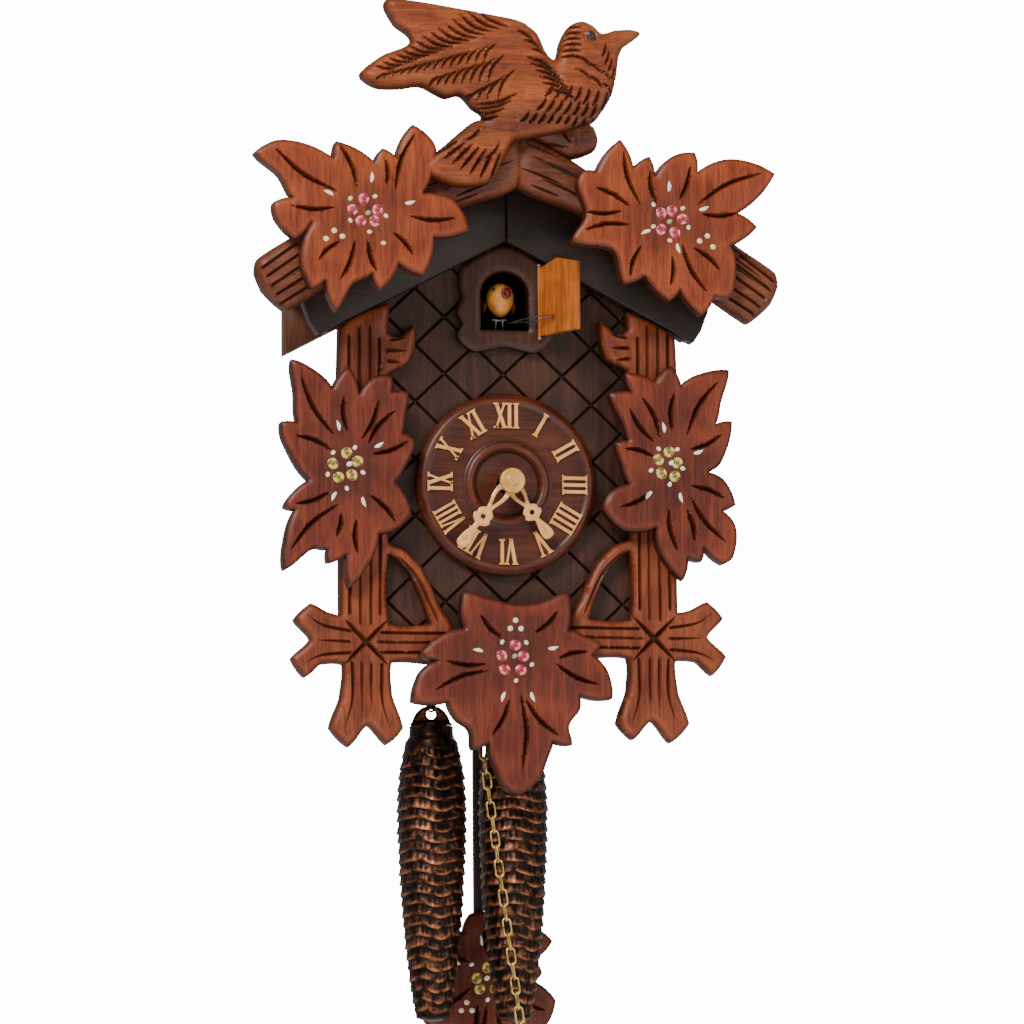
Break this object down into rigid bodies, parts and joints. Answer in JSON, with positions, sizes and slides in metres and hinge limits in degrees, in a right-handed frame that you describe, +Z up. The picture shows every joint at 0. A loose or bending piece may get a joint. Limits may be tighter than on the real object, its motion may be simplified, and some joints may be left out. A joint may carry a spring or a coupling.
{
  "type": "cuckoo clock",
  "caption": "Wall clock in a carved wooden house with a pop-out bird, swinging pendulum and chain-hung pine cone weights.",
  "frame": {"origin": "centre of the wall hook hole at the hanger plate's back face", "axes": "+Z up, +Y into the wall, so the dial faces -Y"},
  "size_m": [0.196, 0.118, 0.4222],
  "materials": {
    "dark_panel": "satin dark stain",
    "stained_wood": "satin brown stain",
    "carved_wood": "satin red-brown stain",
    "raw_wood": "raw",
    "door_wood": "satin",
    "dial_wood": "satin turned",
    "numeral_cream": "matte",
    "hand_cream": "matte",
    "brass": "satin",
    "brass_chain": "polished",
    "steel": "satin",
    "rod_wood": "satin dark stain",
    "bird_body": "painted",
    "bird_wing": "painted",
    "bellows_cloth": "matte",
    "cone_iron": "antique copper lacquer"
  },
  "bodies": {
    "case": {"front_panel": "dark_panel", "left_side": "stained_wood", "right_side": "stained_wood", "case_floor": "stained_wood", "back_rail": "raw_wood", "hanger_plate": "brass", "roof_left": "dark_panel", "roof_right": "dark_panel", "gable_fascia": "dark_panel", "left_branch": "carved_wood", "right_branch": "carved_wood", "perch_log": "carved_wood", "crown_bird": "carved_wood", "top_left_leaf": "carved_wood", "top_right_leaf": "carved_wood", "left_leaf": "carved_wood", "right_leaf": "carved_wood", "bottom_leaf": "carved_wood", "left_post": "carved_wood", "right_post": "carved_wood", "dial": "dial_wood", "numerals": "numeral_cream", "door_surround": "dark_panel", "front_plate": "brass", "back_plate": "brass", "whistle_boxes": "raw_wood", "gong": "steel", "left_bellows_cloth": "bellows_cloth", "right_bellows_cloth": "bellows_cloth"},
    "back_cover": {"back_cover": "raw_wood"},
    "back_latch": {"back_latch": "brass"},
    "cuckoo_door": {"cuckoo_door": "door_wood"},
    "door_link": {"door_link": "steel"},
    "cuckoo": {"cuckoo_arm": "steel", "cuckoo": "bird_body", "cuckoo_wings": "bird_wing"},
    "hour": {"hour_hand": "hand_cream", "hour_wheel": "brass"},
    "minute": {"minute_hand": "hand_cream", "hand_nut": "brass", "centre_wheel": "brass"},
    "minute_wheel": {"minute_wheel": "brass"},
    "great_wheel": {"great_wheel": "brass"},
    "second_wheel": {"second_wheel": "brass"},
    "escape_wheel": {"escape_wheel": "brass"},
    "pendulum": {"anchor": "steel", "pendulum_rod": "rod_wood", "pendulum_bob": "carved_wood"},
    "strike_wheel": {"strike_wheel": "brass"},
    "pin_wheel": {"pin_wheel": "brass"},
    "fly": {"fly": "steel"},
    "hammer": {"hammer": "steel"},
    "left_bellows": {"left_bellows_lid": "raw_wood"},
    "right_bellows": {"right_bellows_lid": "raw_wood"},
    "time_sprocket": {"time_sprocket": "brass_chain"},
    "strike_sprocket": {"strike_sprocket": "brass_chain"},
    "left_weight": {"left_weight": "cone_iron"},
    "right_weight": {"right_weight": "cone_iron"},
    "left_pull_chain": {"left_pull_chain": "brass_chain"},
    "right_pull_chain": {"right_pull_chain": "brass_chain"}
  },
  "joints": [
    {"name": "back_cover_hinge", "type": "hinge", "parent": "case", "child": "back_cover", "pos_m": [-0.0409, -0.0024, -0.08], "axis": [0, 0, 1], "range_deg": [0, 100]},
    {"name": "latch_turn", "type": "hinge", "parent": "case", "child": "back_latch", "pos_m": [0.034, -0.0007, -0.014], "axis": [0, 1, 0], "range_deg": [0, 90]},
    {"name": "cuckoo_bow", "type": "hinge", "parent": "case", "child": "cuckoo", "pos_m": [0, -0.061, -0.041], "axis": [1, 0, 0], "range_deg": [-35, 0]},
    {"name": "door_hinge", "type": "hinge", "parent": "case", "child": "cuckoo_door", "pos_m": [0.0125, -0.0821, -0.018], "axis": [0, 0, 1], "range_deg": [-115, 0]},
    {"name": "door_link_pivot", "type": "hinge", "parent": "cuckoo_door", "child": "door_link", "pos_m": [0.01591, -0.09154, -0.025], "axis": [0, 0, 1], "range_deg": [0, 75]},
    {"name": "minute_turn", "type": "hinge", "parent": "case", "child": "minute", "pos_m": [0, -0.08, -0.086], "axis": [0, 1, 0], "continuous": true},
    {"name": "hour_turn", "type": "hinge", "parent": "case", "child": "hour", "pos_m": [0, -0.075, -0.086], "axis": [0, 1, 0], "continuous": true},
    {"name": "minute_wheel_turn", "type": "hinge", "parent": "case", "child": "minute_wheel", "pos_m": [0, -0.066, -0.098], "axis": [0, 1, 0], "continuous": true},
    {"name": "great_wheel_turn", "type": "hinge", "parent": "case", "child": "great_wheel", "pos_m": [-0.014, -0.045, -0.09731], "axis": [0, 1, 0], "continuous": true},
    {"name": "second_wheel_turn", "type": "hinge", "parent": "case", "child": "second_wheel", "pos_m": [-0.01138, -0.033, -0.07951], "axis": [0, 1, 0], "continuous": true},
    {"name": "escape_wheel_turn", "type": "hinge", "parent": "case", "child": "escape_wheel", "pos_m": [0.002, -0.037, -0.0685], "axis": [0, 1, 0], "continuous": true},
    {"name": "pendulum_swing", "type": "hinge", "parent": "case", "child": "pendulum", "pos_m": [0.002, -0.03, -0.0545], "axis": [0, 1, 0], "range_deg": [-4, 4]},
    {"name": "strike_wheel_turn", "type": "hinge", "parent": "case", "child": "strike_wheel", "pos_m": [0.0165, -0.054, -0.09731], "axis": [0, 1, 0], "continuous": true},
    {"name": "pin_wheel_turn", "type": "hinge", "parent": "case", "child": "pin_wheel", "pos_m": [0.01923, -0.04, -0.0818], "axis": [0, 1, 0], "continuous": true},
    {"name": "fly_turn", "type": "hinge", "parent": "case", "child": "fly", "pos_m": [0.02576, -0.05, -0.0705], "axis": [0, 1, 0], "continuous": true},
    {"name": "hammer_swing", "type": "hinge", "parent": "case", "child": "hammer", "pos_m": [0.029, -0.024, -0.054], "axis": [0, 1, 0], "range_deg": [-12, 5]},
    {"name": "left_bellows_lift", "type": "hinge", "parent": "case", "child": "left_bellows", "pos_m": [-0.038, -0.0402, -0.0378], "axis": [1, 0, 0], "range_deg": [-14, 0], "deforming": ["left_bellows_cloth"]},
    {"name": "right_bellows_lift", "type": "hinge", "parent": "case", "child": "right_bellows", "pos_m": [0.038, -0.0402, -0.0378], "axis": [1, 0, 0], "range_deg": [-14, 0], "deforming": ["right_bellows_cloth"]},
    {"name": "left_weight_lift", "type": "slide", "parent": "case", "child": "left_weight", "axis": [0, 0, 1], "range_m": [0, 0.0117]},
    {"name": "right_weight_lift", "type": "slide", "parent": "case", "child": "right_weight", "axis": [0, 0, 1], "range_m": [0, 0.0117]},
    {"name": "time_sprocket_turn", "type": "hinge", "parent": "case", "child": "time_sprocket", "pos_m": [-0.014, -0.046, -0.09731], "axis": [0, 1, 0], "range_deg": [0, 90]},
    {"name": "strike_sprocket_turn", "type": "hinge", "parent": "case", "child": "strike_sprocket", "pos_m": [0.0165, -0.046, -0.09731], "axis": [0, 1, 0], "range_deg": [0, 90]},
    {"name": "left_chain_pull", "type": "slide", "parent": "case", "child": "left_pull_chain", "axis": [0, 0, 1], "range_m": [-0.0118, 0]},
    {"name": "right_chain_pull", "type": "slide", "parent": "case", "child": "right_pull_chain", "axis": [0, 0, 1], "range_m": [-0.0118, 0]}
  ],
  "couplings": [
    {"joint": "door_hinge", "follows": "cuckoo_bow", "ratio": 3.2857},
    {"joint": "door_link_pivot", "follows": "cuckoo_bow", "ratio": -2.1314},
    {"joint": "minute_turn", "follows": "great_wheel_turn", "ratio": -0.66667},
    {"joint": "hour_turn", "follows": "great_wheel_turn", "ratio": -0.055556},
    {"joint": "minute_wheel_turn", "follows": "great_wheel_turn", "ratio": 0.22222},
    {"joint": "second_wheel_turn", "follows": "great_wheel_turn", "ratio": -9},
    {"joint": "escape_wheel_turn", "follows": "great_wheel_turn", "ratio": 72},
    {"joint": "pin_wheel_turn", "follows": "strike_wheel_turn", "ratio": -6},
    {"joint": "fly_turn", "follows": "strike_wheel_turn", "ratio": 37.5},
    {"joint": "time_sprocket_turn", "follows": "left_weight_lift", "rad_per_m": 133.33},
    {"joint": "strike_sprocket_turn", "follows": "right_weight_lift", "rad_per_m": 133.33},
    {"joint": "left_chain_pull", "follows": "left_weight_lift", "ratio": -1},
    {"joint": "right_chain_pull", "follows": "right_weight_lift", "ratio": -1}
  ]
}
